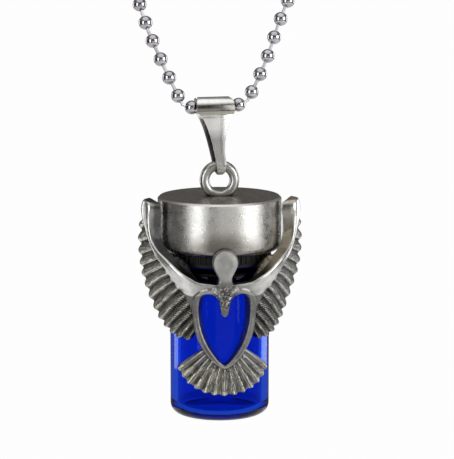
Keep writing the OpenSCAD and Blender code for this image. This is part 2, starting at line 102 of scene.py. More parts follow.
def tidy_faces(piece):
    """Merges corners that meet and turns all faces outwards."""
    open_up(piece)
    bpy.ops.mesh.select_all(action="SELECT")
    bpy.ops.mesh.remove_doubles(threshold=1e-7)
    bpy.ops.mesh.normals_make_consistent(inside=False)
    bpy.ops.object.mode_set(mode="OBJECT")


def smooth(piece, degrees):
    """Smooth shading, apart from edges sharper than the angle."""
    take(piece)
    bpy.ops.object.shade_smooth_by_angle(angle=math.radians(degrees))


def wear(piece, finish, body, slot_name, *nodes):
    """Gives a piece its finish, its body and the node that it stands for. slot_name is not used.
    """
    piece.data.materials.clear()
    piece.data.materials.append(finish)
    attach(piece, body)
    if nodes:
        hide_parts(*nodes)


def turn_on_lathe(name, profile, sides):
    """A turned piece about the pendant's middle line: profile is (radius, height) in mm."""
    put_all_down()
    radius, height = profile[0]
    bpy.ops.mesh.primitive_circle_add(
        vertices=sides, radius=radius * MM, fill_type="NOTHING",
        location=PENDANT + Vector((0, 0, height * MM)),
    )
    piece = bpy.context.object
    piece.name = name
    bpy.ops.object.mode_set(mode="EDIT")
    bpy.ops.mesh.select_all(action="SELECT")
    bpy.ops.mesh.edge_face_add()
    for next_radius, next_height in profile[1:]:
        bpy.ops.mesh.extrude_region_move(
            TRANSFORM_OT_translate={"value": (0, 0, (next_height - height) * MM)}
        )
        grow = next_radius / radius
        bpy.ops.transform.resize(
            value=(grow, grow, 1), center_override=PENDANT + Vector((0, 0, next_height * MM))
        )
        radius, height = next_radius, next_height
    bpy.ops.object.mode_set(mode="OBJECT")
    settle(piece)
    tidy_faces(piece)
    return piece


def arc(centre, radius, start, end, steps):
    """Points (radius, height) of a rounded edge, angles in degrees from straight outwards."""
    return [
        (
            centre[0] + radius * math.cos(math.radians(start + (end - start) * k / steps)),
            centre[1] + radius * math.sin(math.radians(start + (end - start) * k / steps)),
        )
        for k in range(steps + 1)
    ]


# Heights in the shared frame, from which the finishes of the cap and the bail are laid out
CAP_EDGE, BAIL_FOOT, BAIL_TALL = -190.4 * MM, -178.7 * MM, 15.0 * MM
# Feathers of a wing and of the tail, and half the tail's opening
FEATHERS, TAIL_FEATHERS, TAIL_OPEN = 13, 13, math.radians(68)


class Finish:
    """A material with its shader, and short ways to wire procedural textures into it."""

    def __init__(self, name):
        self.material = bpy.data.materials.new(name)
        self.material.use_nodes = True
        self.nodes = self.material.node_tree.nodes
        self.links = self.material.node_tree.links
        self.shader = self.nodes["Principled BSDF"]
        self.place = self.nodes.new("ShaderNodeTexCoord")

    def set(self, **values):
        for key, value in values.items():
            self.shader.inputs[key.replace("_", " ")].default_value = value
        return self

    def here(self):
        """X, Y and Z in the shared frame."""
        return self.parts(self.place.outputs["Object"])

    def spots(self, scale, detail=4.0, stretch=(1, 1, 1), rough=0.6):
        mapping = self.nodes.new("ShaderNodeMapping")
        mapping.inputs["Scale"].default_value = stretch
        noise = self.nodes.new("ShaderNodeTexNoise")
        noise.inputs["Scale"].default_value = scale
        noise.inputs["Detail"].default_value = detail
        noise.inputs["Roughness"].default_value = rough
        self.links.new(self.place.outputs["Object"], mapping.inputs["Vector"])
        self.links.new(mapping.outputs["Vector"], noise.inputs["Vector"])
        return noise.outputs["Fac"]

    def ramp(self, source, *stops):
        """Colours, or greys, by a value from 0 to 1. Each stop is (value, colour or grey)."""
        ramp = self.nodes.new("ShaderNodeValToRGB")
        self.links.new(source, ramp.inputs["Fac"])
        elements = ramp.color_ramp.elements
        while len(elements) > len(stops):
            elements.remove(elements[-1])
        while len(elements) < len(stops):
            elements.new(0.5)
        for element, (position, colour) in zip(elements, stops):
            element.position = position
            if not isinstance(colour, tuple):
                colour = (colour, colour, colour)
            element.color = (*colour, 1)
        return ramp.outputs["Color"]

    def occlusion_shade(self, reach, *stops):
        """Painted shade: a ramp by how open a place is to its surroundings within reach, which
        darkens hollows and places near other parts.
        """
        shade = self.nodes.new("ShaderNodeAmbientOcclusion")
        shade.samples = 8
        shade.inputs["Distance"].default_value = reach
        return self.ramp(shade.outputs["AO"], *stops)

    def stretch(self, value, start, length, *stops):
        """A ramp over the stretch of a value that begins at start."""
        share = self.sum_up("DIVIDE", self.sum_up("ADD", value, -start), length)
        return self.ramp(share, *stops)

    def left_and_right(self, left, right):
        """One colour on the left half of the front and another on the right half."""
        share = self.sum_up("MULTIPLY_ADD", self.here()[0], 100.0, 0.5)
        return self.ramp(share, (0.4, left), (0.6, right))

    def blend(self, way, first, second, share=1.0):
        """Two colours, or sockets, blended. The share is a number or a socket."""
        mix = self.nodes.new("ShaderNodeMix")
        mix.data_type = "RGBA"
        mix.blend_type = way
        if isinstance(share, float):
            mix.inputs["Factor"].default_value = share
        else:
            self.links.new(share, mix.inputs["Factor"])
        for socket, value in ((mix.inputs[6], first), (mix.inputs[7], second)):
            if isinstance(value, tuple):
                socket.default_value = (*value, 1)
            else:
                self.links.new(value, socket)
        return mix.outputs[2]

    def relief(self, source, depth, strength=1.0, under=None):
        """A bump of the given depth in metres, on top of the one under it."""
        bump = self.nodes.new("ShaderNodeBump")
        bump.inputs["Distance"].default_value = depth
        bump.inputs["Strength"].default_value = strength
        self.links.new(source, bump.inputs["Height"])
        if under is not None:
            self.links.new(under, bump.inputs["Normal"])
        self.links.new(bump.outputs["Normal"], self.shader.inputs["Normal"])
        return bump.outputs["Normal"]

    def sum_up(self, way, first, second=0.0, third=0.0):
        """A maths step on values or sockets."""
        step = self.nodes.new("ShaderNodeMath")
        step.operation = way
        for socket, value in zip(step.inputs, (first, second, third)):
            if isinstance(value, (int, float)):
                socket.default_value = value
            else:
                self.links.new(value, socket)
        return step.outputs["Value"]

    def rest_of(self, share):
        """What a share leaves of one."""
        return self.sum_up("SUBTRACT", 1.0, share)

    def parts(self, vector):
        split = self.nodes.new("ShaderNodeSeparateXYZ")
        self.links.new(vector, split.inputs["Vector"])
        return split.outputs["X"], split.outputs["Y"], split.outputs["Z"]

    def mark(self, name):
        """X, Y and Z of an attribute that the piece's corners carry."""
        carried = self.nodes.new("ShaderNodeAttribute")
        carried.attribute_name = name
        return self.parts(carried.outputs["Vector"])

    def streaks(self, x, y, scale, detail=3.0):
        """Noise in two stretched directions of the piece's own."""
        join = self.nodes.new("ShaderNodeCombineXYZ")
        self.links.new(x, join.inputs["X"])
        self.links.new(y, join.inputs["Y"])
        noise = self.nodes.new("ShaderNodeTexNoise")
        noise.inputs["Scale"].default_value = scale
        noise.inputs["Detail"].default_value = detail
        self.links.new(join.outputs["Vector"], noise.inputs["Vector"])
        return noise.outputs["Fac"]

    def into(self, socket, source):
        """Leads a texture into one of the shader's sockets."""
        self.links.new(source, self.shader.inputs[socket])
        return self


def feather_marks(finish, across, along, tail):
    """Fine lines that run along each feather, short strokes across the lower inner ones of
    the wing, and the share of those strokes."""
    lines = finish.streaks(
        finish.sum_up("MULTIPLY", across, 8.0), finish.sum_up("MULTIPLY", along, 3.5), 1.0
    )
    waver = finish.sum_up("MULTIPLY", finish.spots(1100, 2), 5.0)
    skewed = finish.sum_up("MULTIPLY_ADD", across, 12.0, waver)
    strokes = finish.sum_up("SINE", finish.sum_up("MULTIPLY_ADD", along, 100.0, skewed))
    strokes = finish.sum_up("MULTIPLY_ADD", strokes, 0.5, 0.5)
    low = finish.ramp(finish.sum_up("DIVIDE", across, FEATHERS), (0.5, 0.0), (0.72, 1.0))
    inner = finish.ramp(along, (0.5, 1.0), (0.95, 0.3))
    low_inner = finish.sum_up(
        "MULTIPLY", finish.blend("MULTIPLY", low, inner), finish.rest_of(tail)
    )
    return lines, strokes, low_inner


def painted_feather_light(finish, across, place, tail):
    """Painted light and shade across each feather: a painted highlight on a crest low on those of
    the wing, and in the middle of those of the tail, painted shade towards the grooves; the lower
    wing feathers a little darker."""
    wing = finish.ramp(
        place, (0.0, 0.12), (0.12, 0.24), (0.42, 0.4), (0.62, 0.55), (0.64, 1.25), (0.78, 1.25),
        (0.87, 0.3), (1.0, 0.1),
    )
    lower = finish.ramp(finish.sum_up("DIVIDE", across, FEATHERS), (0.35, 1.0), (0.6, 0.85))
    fan = finish.ramp(
        place, (0.0, 0.42), (0.12, 0.48), (0.3, 0.85), (0.42, 1.6), (0.55, 1.6), (0.68, 0.85),
        (0.9, 0.48), (1.0, 0.42),
    )
    return finish.blend("MIX", finish.blend("MULTIPLY", wing, lower), fan, tail)


def cast_pewter():
    """Antiqued casting: combed feathers with painted crest highlights and painted shade in their
    grooves and hollows, arms rubbed bright with a painted highlight in front and painted shade at
    their sides, rough breast with painted glints.
    """
    finish = Finish("cast_pewter")
    finish.set(Metallic=1.0)
    across, along, feather = finish.mark("comb")
    polish_and_sheen, rough, arm_side_shade = finish.mark("rub_and_shade")
    tail, head = finish.mark("part")[:2]
    # Painted shade in the casting's hollows and where other parts come near it
    hollow_shade = finish.occlusion_shade(1.1 * MM, (0.3, 0.16), (0.6, 0.65), (0.88, 1.0))
    mottle = finish.ramp(finish.spots(700, 5), (0.3, 0.7), (0.7, 1.0))
    lines, strokes, low_inner = feather_marks(finish, across, along, tail)
    place = finish.sum_up("FRACT", across)

    # Painted highlights on the feathers' crests and painted shade in their grooves, then the fine
    # lines and strokes
    feather_light_and_lines = painted_feather_light(finish, across, place, tail)
    lined = finish.ramp(lines, (0.42, 0.5), (0.56, 1.5))
    feather_light_and_lines = finish.blend("MULTIPLY", feather_light_and_lines, lined, 0.9)
    stroked = finish.ramp(strokes, (0.25, 0.5), (0.75, 1.45))
    feather_light_and_lines = finish.blend("MULTIPLY", feather_light_and_lines, stroked, low_inner)
    corners = finish.nodes.new("ShaderNodeNewGeometry").outputs["Pointiness"]
    corners = finish.ramp(corners, (0.515, 0.0), (0.56, 1.0))
    corners = finish.sum_up("MULTIPLY", corners, finish.rest_of(head))
    plain = finish.blend("MIX", (0.19, 0.187, 0.178), (0.7, 0.69, 0.67), corners)
    # Arms and head worn bright, partly as a painted highlight
    plain = finish.blend("MIX", plain, (0.84, 0.835, 0.82), polish_and_sheen)
    # Painted light: the left wing lighter and warmer than the right
    wing_light_by_side = finish.left_and_right((0.47, 0.457, 0.40), (0.37, 0.362, 0.335))
    metal = finish.blend("MIX", plain, finish.blend("MULTIPLY", wing_light_by_side, feather_light_and_lines), feather)
    metal = finish.blend("MULTIPLY", metal, mottle)
    # Painted glints: bright specks on the rough breast
    glint_speckle = finish.ramp(finish.spots(3200, 3), (0.5, 0.55), (0.64, 3.6))
    metal = finish.blend("MULTIPLY", metal, glint_speckle, rough)
    # Painted shade on the arms' sides and deepened back: dark grey on the left, browner on the
    # right
    sides = finish.left_and_right((0.40, 0.41, 0.44), (0.85, 0.76, 0.6))
    metal = finish.blend("MULTIPLY", metal, sides, arm_side_shade)
    finish.into("Base Color", finish.blend("MULTIPLY", metal, hollow_shade))

    matt = finish.ramp(finish.spots(420, 3), (0.3, 0.3), (0.7, 0.44))
    glint = finish.ramp(feather_light_and_lines, (0.2, 1.2), (0.9, 0.55))
    matt = finish.blend("MULTIPLY", matt, glint, feather)
    matt = finish.blend("MIX", matt, (0.28, 0.28, 0.28), polish_and_sheen)
    finish.into("Roughness", finish.blend("MIX", matt, (0.55, 0.55, 0.55), head))

    unworn = finish.sum_up("MULTIPLY_ADD", polish_and_sheen, -0.85, 1.0)
    grain = finish.sum_up("MULTIPLY", finish.spots(3200, 3), unworn)
    grain = finish.relief(grain, 0.03 * MM, 0.5)
    pits = finish.sum_up("MULTIPLY", finish.spots(1800, 4), rough)
    pits = finish.relief(pits, 0.5 * MM, 1.0, grain)
    grooves = finish.sum_up("MULTIPLY_ADD", strokes, low_inner, lines)
    grooves = finish.sum_up("MULTIPLY", grooves, feather)
    grooves = finish.relief(grooves, 0.12 * MM, 0.9, pits)
    wing_form = finish.ramp(
        place, (0.0, 0.0), (0.12, 0.1), (0.5, 0.5), (0.72, 1.0), (0.8, 0.95), (0.9, 0.3),
        (1.0, 0.0),
    )
    tail_form = finish.ramp(place, (0.0, 0.0), (0.3, 0.3), (0.48, 1.0), (0.7, 0.3), (1.0, 0.0))
    form = finish.blend("MIX", wing_form, tail_form, tail)
    finish.relief(finish.sum_up("MULTIPLY", form, feather), 0.3 * MM, 0.8, grooves)
    return finish.material


def satin_pewter():
    """The cap's satin metal: sparkling grain, and painted shade on its lower wall."""
    finish = Finish("satin_pewter")
    finish.set(Metallic=1.0)
    # Painted shade in hollows and where other parts come near the cap
    depth = finish.occlusion_shade(1.2 * MM, (0.3, 0.25), (0.8, 1.0))
    tone = finish.ramp(
        finish.spots(160, 4), (0.3, (0.60, 0.59, 0.565)), (0.7, (0.68, 0.675, 0.66))
    )
    across, _, height = finish.here()
    # The painted shade's upper line is highest in the middle and wavers a little
    bowed = finish.sum_up("POWER", finish.sum_up("ABSOLUTE", across), 2.0)
    line = finish.sum_up("MULTIPLY_ADD", bowed, 45.0, height)
    line = finish.sum_up("MULTIPLY_ADD", finish.spots(220, 2), 0.0016, line)
    low_wall_shade = finish.stretch(
        line, CAP_EDGE, 9.2 * MM,
        (0.1, (0.38, 0.37, 0.355)), (0.35, (0.42, 0.41, 0.39)), (0.62, 1.0),
    )
    tone = finish.blend("MULTIPLY", tone, low_wall_shade)
    # Painted shade, warmer in tint, from the top face upwards
    top_shade = finish.stretch(
        height, PENDANT.z - 0.4 * MM, 1.0 * MM,
        (0.25, 1.0), (0.42, (0.68, 0.65, 0.6)), (0.6, (0.68, 0.65, 0.6)), (1.0, 0.72),
    )
    tone = finish.blend("MULTIPLY", tone, top_shade)
    finish.into("Base Color", finish.blend("MULTIPLY", tone, depth))
    finish.into("Roughness", finish.ramp(finish.spots(900, 2), (0.25, 0.24), (0.75, 0.34)))
    off_ring = finish.stretch(height, PENDANT.z, 2.0 * MM, (0.1, 1.0), (0.4, 0.12))
    grain = finish.sum_up("MULTIPLY", finish.spots(5200, 2), off_ring)
    grain = finish.relief(grain, 0.05 * MM, 0.6)
    finish.relief(finish.spots(700, 1), 0.03 * MM, 0.25, grain)
    return finish.material


def bright_steel():
    """Polished chain steel."""
    finish = Finish("bright_steel")
    finish.set(Metallic=1.0)
    tone = finish.ramp(
        finish.spots(500, 2), (0.3, (0.41, 0.395, 0.435)), (0.7, (0.56, 0.55, 0.58))
    )
    finish.into("Base Color", tone)
    finish.into("Roughness", finish.ramp(finish.spots(900, 2), (0.3, 0.06), (0.7, 0.14)))
    finish.relief(finish.spots(1500, 2), 0.01 * MM, 0.2)
    return finish.material


def link_steel():
    """The thin link wire, drawn and a little dull."""
    finish = Finish("link_steel")
    finish.set(Metallic=1.0)
    tone = finish.ramp(finish.spots(700, 2), (0.3, (0.86, 0.85, 0.88)), (0.7, (0.95, 0.94, 0.96)))
    finish.into("Base Color", tone)
    finish.into("Roughness", finish.ramp(finish.spots(900, 2), (0.3, 0.35), (0.7, 0.5)))
    return finish.material


def brushed_steel():
    """The bail's steel: painted shade round the roll, a painted highlight on the lip below it,
    brushed down the leaf.
    """
    finish = Finish("brushed_steel")
    finish.set(Metallic=1.0)
    _, front, height = finish.here()
    # Painted light by height: bright foot, grey leaf, a painted highlight below the roll, painted
    # shade round its middle, a painted highlight on its top
    tone = finish.stretch(
        height, BAIL_FOOT, BAIL_TALL,
        (0.0, (0.9, 0.89, 0.86)), (0.25, (0.62, 0.62, 0.61)), (0.5, (0.5, 0.5, 0.49)),
        (0.63, (0.98, 0.98, 0.97)), (0.775, (0.98, 0.98, 0.97)), (0.79, (0.44, 0.42, 0.37)),
        (0.9, (0.2, 0.2, 0.185)), (0.93, (0.9, 0.9, 0.89)),
    )
    # Painted shade on the back leaf, seen through the fold
    behind = finish.stretch(front, PENDANT.y - 1.2 * MM, 2.0 * MM, (0.4, 1.0), (0.6, 0.3))
    leaf = finish.stretch(height, BAIL_FOOT, BAIL_TALL, (0.7, 1.0), (0.76, 0.0))
    tone = finish.blend("MULTIPLY", tone, behind, leaf)
    brushed = finish.spots(1500, 2, (1, 1, 0.05))
    worn = finish.ramp(brushed, (0.3, 0.85), (0.7, 1.0))
    finish.into("Base Color", finish.blend("MULTIPLY", tone, worn))
    finish.into("Roughness", finish.ramp(brushed, (0.3, 0.17), (0.7, 0.27)))
    finish.relief(brushed, 0.012 * MM, 0.25)
    return finish.material


def black_resin():
    """Moulded black closure."""
    finish = Finish("black_resin")
    tone = finish.ramp(finish.spots(300, 3), (0.3, 0.003), (0.7, 0.008))
    finish.into("Base Color", tone)
    finish.into("Roughness", finish.ramp(finish.spots(800, 3), (0.3, 0.4), (0.7, 0.55)))
    finish.shader.inputs["Specular IOR Level"].default_value = 0.25
    finish.relief(finish.spots(2400, 2), 0.02 * MM, 0.3)
    return finish.material


def cobalt_glass():
    """Cobalt blue glass, clear, with faint waves in its surface."""
    finish = Finish("cobalt_glass")
    finish.set(Metallic=0.0, Roughness=0.02, IOR=1.5)
    finish.shader.inputs["Transmission Weight"].default_value = 1.0
    finish.shader.inputs["Specular Tint"].default_value = (0.15, 0.15, 0.2, 1)
    tone = finish.ramp(
        finish.spots(60, 2), (0.3, (0.04, 0.16, 0.68)), (0.7, (0.05, 0.17, 0.71))
    )
    # The neck and shoulder are thicker, and their base colour is darkened there as painted shade
    height = finish.here()[2]
    neck = finish.stretch(height, PENDANT.z - 15.0 * MM, 2.8 * MM, (0.0, 1.0), (0.6, 0.12))
    tone = finish.blend("MULTIPLY", tone, neck)
    finish.into("Base Color", tone)
    depth = finish.nodes.new("ShaderNodeVolumeAbsorption")
    depth.inputs["Color"].default_value = (0.0, 0.35, 0.86, 1)
    depth.inputs["Density"].default_value = 480.0
    finish.links.new(
        depth.outputs["Volume"], finish.nodes["Material Output"].inputs["Volume"]
    )
    finish.relief(finish.spots(120, 1, (1, 1, 0.4)), 0.05 * MM, 0.12)
    return finish.material


def pale_floor():
    """The studio's matt floor."""
    finish = Finish("pale_floor")
    tone = finish.ramp(finish.spots(2, 2), (0.3, (0.9, 0.9, 0.9)), (0.7, (0.93, 0.93, 0.93)))
    finish.into("Base Color", tone)
    finish.set(Roughness=0.9)
    return finish.material


CAST = cast_pewter()
SATIN = satin_pewter()
CHAIN = bright_steel()
LINK = link_steel()
BRUSHED = brushed_steel()
BLACK = black_resin()
COBALT = cobalt_glass()

for node_name, finish in (
    ("chain_beads", CHAIN), ("chain_wire", LINK), ("chain_clasp", CHAIN),
    ("bail", BRUSHED), ("urn_cap", SATIN), ("screw_cap", BLACK),
    ("glass_vial", COBALT), ("winged_figure", CAST),
):
    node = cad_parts[node_name]
    node.data.materials.clear()
    node.data.materials.append(finish)


# The wing lies in a flat chart, in mm: s runs round the front from its middle, z is the
# height. The front is round up to the angle LEAVE, and straight beyond it.
WRAP, LEAVE = 10.845, math.radians(60)
# The chart's width, the height of its upper edge and its own height
REACH, RISE, TALL = 18.3, 0.8, 24.8
# How far the casting's back is from the middle line, below and above its flare
LOW_BACK, HIGH_BACK, FLARE_TOP, FLARE_FOOT = 8.845, 11.1, -9.55, -19.47
# Roots and tips of the wing's feathers, and the arm's middle line with its half width in mm:
# shares of the chart's width and height
FEATHER_ROOTS = (
    (0.78, 0.14), (0.74, 0.3), (0.61, 0.42), (0.5, 0.51), (0.43, 0.6), (0.36, 0.7),
    (0.3, 0.8), (0.27, 0.9),
)
FEATHER_TIPS = (
    (0.95, 0.19), (0.98, 0.33), (0.97, 0.475), (0.995, 0.61), (0.975, 0.745), (0.86, 0.86),
    (0.7, 0.94), (0.53, 0.985), (0.36, 0.995),
)
ARM_LINE = (
    (0.12, 0.603, 0.8), (0.22, 0.608, 1.1), (0.295, 0.604, 1.5), (0.365, 0.578, 1.6),
    (0.43, 0.528, 1.35), (0.49, 0.475, 1.15), (0.56, 0.428, 0.95), (0.635, 0.385, 0.8),
    (0.705, 0.325, 0.7), (0.76, 0.245, 1.0), (0.795, 0.165, 1.5), (0.805, 0.1, 1.9),
    (0.8, 0.03, 1.7),
)
# How much deeper than the solid the arm is below the cap, in mm
ARM_DEEPER = 1.6


def smooth_line(points, count):
    """Equally counted points on a smooth line through the given ones."""
    points = np.array(points, float)
    where = np.linspace(0, len(points) - 1, count)
    k = np.minimum(where.astype(int), len(points) - 2)
    t = (where - k)[:, None]
    last = len(points) - 1
    a, b = points[np.maximum(k - 1, 0)], points[k]
    c, d = points[k + 1], points[np.minimum(k + 2, last)]
    return 0.5 * (
        2 * b + (c - a) * t + (2 * a - 5 * b + 4 * c - d) * t ** 2
        + (3 * b - a - 3 * c + d) * t ** 3
    )


def wing_place(shares):
    """Places in the chart from shares of its width and height."""
    return np.column_stack((shares[:, 0] * REACH, RISE - shares[:, 1] * TALL))


def comb(places, roots, tips):
    """For each place the line from root to tip that runs through it, or -1, and how far
    along it the place is."""
    found = np.full(len(places), -1.0)
    share = np.zeros(len(places))
    quill = tips - roots
    length = np.linalg.norm(quill, axis=1)
    batch = 8000
    for start in range(0, len(places), batch):
        part = places[start:start + batch]
        away = part[:, None, :] - roots[None]
        side = (quill[:, 0] * away[..., 1] - quill[:, 1] * away[..., 0]) / length
        run = (away * quill).sum(2) / length ** 2
        miss = np.abs(side) + 50 * ((run < -0.2) | (run > 1.15))
        best = miss.argmin(1)
        rows = np.arange(len(part))
        near = miss[rows, best] < 0.35
        found[start:start + batch] = np.where(near, best, -1)
        share[start:start + batch] = run[rows, best]
    return found, share


def read_corners(piece, what):
    """Places or facings of the piece's corners, one row each."""
    values = np.empty(len(piece.data.vertices) * 3)
    piece.data.vertices.foreach_get(what, values)
    return values.reshape(-1, 3)


def ease_in(value, start, length):
    """A share that grows from 0 at start to 1 over the length, which may be negative."""
    return np.clip((value - start) / length, 0, 1)


def find_feathers(at, s, z):
    """Feather number and share of its length, in the wing and in the tail."""
    fine = 10
    wing, run = comb(
        np.column_stack((s, z)),
        wing_place(smooth_line(FEATHER_ROOTS, FEATHERS * fine + 1)),
        wing_place(smooth_line(FEATHER_TIPS, FEATHERS * fine + 1)),
    )
    turn = np.linspace(TAIL_OPEN, -TAIL_OPEN, TAIL_FEATHERS * fine + 1)
    # The tail's roots and tips lie on two bowed lines
    roots = np.column_stack((4.284 * np.sin(turn), -27.83 + 4.608 * (1 - np.cos(turn))))
    tips = np.column_stack((
        10.2 * np.sin(turn) / math.sin(TAIL_OPEN),
        -33.45 + 4.692 * (1 - np.cos(turn)) / (1 - math.cos(TAIL_OPEN)),
    ))
    side = np.where(at[:, 0] < 0, -s, s)
    tail, tail_run = comb(np.column_stack((side, z)), roots, tips)
    return wing / fine, run, tail / fine, tail_run


def off_the_arm(s, z):
    """Distance from the arm's middle line, in half widths of the arm."""
    line = np.array(smooth_line(ARM_LINE, 90))
    gap = np.full(len(s), 9.0)
    for place, half in zip(wing_place(line[:, :2]), line[:, 2]):
        gap = np.minimum(gap, np.hypot(s - place[0], z - place[1]) / half)
    return gap


def write_marks(piece, marks, groups):
    """Stores what the finish reads as attributes, and what the modifiers read as groups."""
    for name, columns in marks.items():
        carried = piece.data.attributes.new(name, "FLOAT_VECTOR", "POINT")
        carried.data.foreach_set("vector", np.column_stack(columns).ravel())
    levels = 100
    for name, share in groups.items():
        group = piece.vertex_groups.new(name=name)
        steps = np.round(share * levels).astype(int)
        for level in range(1, levels + 1):
            group.add(np.flatnonzero(steps == level).tolist(), level / levels, "REPLACE")


def chart_casting(piece):
    """Marks on the casting's corners. comb: feather number, place along it, how feathery.
    rub_and_shade: how polished, partly as painted highlight, how rough, how much painted shade of
    an arm's side or deepened back. part: is tail, is head."""
    at = (read_corners(piece, "co") - np.array(PENDANT)) / MM
    facing = read_corners(piece, "normal")
    x, y, z = np.abs(at[:, 0]), at[:, 1], at[:, 2]
    angle = np.arctan2(x, -y)
    straight = x * math.cos(LEAVE) + y * math.sin(LEAVE)
    bent = angle < LEAVE
    s = np.where(bent, angle * WRAP, LEAVE * WRAP + straight)
    rise = ease_in(z, FLARE_FOOT, FLARE_TOP - FLARE_FOOT)
    back = LOW_BACK + (HIGH_BACK - LOW_BACK) * rise * rise * (3 - 2 * rise)
    out = np.where(bent, np.hypot(x, y), x * math.sin(LEAVE) - y * math.cos(LEAVE)) - back
    lean = np.where(bent, angle, LEAVE)
    forward = facing[:, 0] * np.sign(at[:, 0]) * np.sin(lean) - facing[:, 1] * np.cos(lean)
    outward = ease_in(forward, 0.15, 0.45)

    wing, run, tail, tail_run = find_feathers(at, s, z)
    gap = off_the_arm(s, z)
    arm = ease_in(gap, 1.12, -0.12)
    is_tail = (tail >= 0) & (tail_run > 0.02) & (z < -28.2) & (s < 10.6)
    is_wing = (wing >= 0) & (run > 0.0) & (out < 2.08) & ~is_tail
    feather = np.where(is_tail, 1.0, np.where(is_wing, 1.0 - arm, 0.0))
    number = np.where(is_tail, tail, np.where(is_wing, wing, 0.0))
    place = np.where(is_tail, tail_run, np.where(is_wing, run, 0.0))

    head = ease_in(z, -13.4, 0.8) * (s < 3.4)
    breast = 2.0 * np.clip(1 - np.hypot(s / 1.7, (z + 15.9) / 2.8), 0, 1)
    # The arms are worn bright in front, with a painted highlight on the faces that look forward;
    # the right one less so lower down, and both less so where they meet the heart
    right = at[:, 0] >= 0
    worn = np.where(right, np.clip((z + 8) / 4, 0.75, 1.0), 1.0)
    worn = worn * np.clip((s - 2.6) / 3.4, 0.3, 1.0)
    polish_and_sheen = np.maximum(arm * (out > 1.5) * outward * worn, 0.4 * head)
    arm_side = ease_in(gap, 1.45, -0.2) * (out > 0.2) * (1 - outward)
    # Painted sheen on the right arm's sides, stronger towards the hand
    right_side_sheen = 0.22 + 0.55 * ease_in(z, -6, 2.5)
    polish_and_sheen = np.maximum(polish_and_sheen, arm_side * np.where(right, right_side_sheen, 0.0))
    # Below the cap the arm is as deep as the closure's rim lets it be
    window = ease_in(z, -9.35, -0.2) * ease_in(z, -12.9, 1.6)
    deep = ease_in(back, 9.35, ARM_DEEPER) * window * arm * ease_in(-forward, 0.3, 0.4)
    # Painted shade on the arms' sides and on their deepened back below the cap
    arm_side_shade = np.clip(np.maximum(arm_side, 2.0 * deep), 0, 1)
    hand = arm * ease_in(z, -3.2, 1.2)
    is_tail = is_tail.astype(float)
    write_marks(
        piece,
        {
            "comb": (number, place, feather),
            "rub_and_shade": (polish_and_sheen, np.minimum(breast, 1), arm_side_shade),
            "part": (is_tail, head, np.zeros(len(head))),
        },
        {"feathers": feather, "arm_back": deep, "hands": hand},
    )


def ease(piece, name, rounds, group=""):
    """A modifier that smooths the piece, or one vertex group of it."""
    modifier = piece.modifiers.new(name, "SMOOTH")
    modifier.factor = 0.5
    modifier.iterations = rounds
    modifier.vertex_group = group


def make_figure():
    """The casting: the solid's form melted into one skin, its edges softened as cast."""
    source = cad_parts["winged_figure"]
    take(source)
    bpy.ops.object.duplicate()
    piece = bpy.context.object
    piece.name = "figure_casting"
    piece.parent = None
    for key in list(piece.keys()):
        del piece[key]
    tidy_faces(piece)
    skin = piece.modifiers.new("skin", "REMESH")
    skin.mode = "VOXEL"
    skin.voxel_size = 0.157 * MM
    ease(piece, "soften", 4)
    apply_all(piece)
    chart_casting(piece)
    ease(piece, "flatten", 22, "feathers")
    ease(piece, "rounding", 38, "hands")
    deepen = piece.modifiers.new("deepen", "DISPLACE")
    deepen.strength = ARM_DEEPER * MM
    deepen.mid_level = 0.0
    deepen.vertex_group = "arm_back"
    ease(piece, "even", 13, "arm_back")
    apply_all(piece)
    take(piece)
    bpy.ops.object.shade_smooth()
    return piece


figure = make_figure()
wear(figure, CAST, "vial", "cast_pewter", "winged_figure")


# Radii of the strip's outer face at the roll and at the fold, and from one's middle to the
# other's
ROLL_R, FOLD_R, BAIL_REACH = 2.0, 1.7, 9.9
# Outer face of the strip up the front leaf, in mm from the roll's middle: distance in front
# of the middle plane, and height
BAIL_LEAF = (
    (1.69, -9.5), (1.76, -8.7), (1.84, -7.43), (1.93, -5.9), (1.97, -4.46), (1.99, -3.4),
    (2.0, -2.38), (1.97, -1.75), (1.9, -1.3), (1.82, -0.98),
)
# Front view of the strip: height, half width and sideways shift in mm
BAIL_FRONT = (
    (-11.7, 0.42, 1.1), (-11.3, 0.63, 1.1), (-10.5, 0.84, 1.1), (-9.31, 0.9, 1.01),
    (-7.43, 0.99, 0.68), (-5.45, 1.2, 0.42), (-3.47, 1.72, 0.3), (-1.88, 2.32, 0.24),
    (-1.09, 2.8, 0.22), (-0.79, 3.12, 0.11), (-0.59, 3.35, 0.0), (1.19, 3.35, 0.0),
    (1.68, 3.18, 0.0), (2.0, 2.8, 0.0),
)


def across_bail(height):
    """Half width and sideways shift of the strip at a height."""
    height = min(max(height, BAIL_FRONT[0][0]), BAIL_FRONT[-1][0])
    for low, high in zip(BAIL_FRONT, BAIL_FRONT[1:]):
        if height <= high[0]:
            share = (height - low[0]) / (high[0] - low[0])
            return tuple(low[k] + (high[k] - low[k]) * share for k in (1, 2))


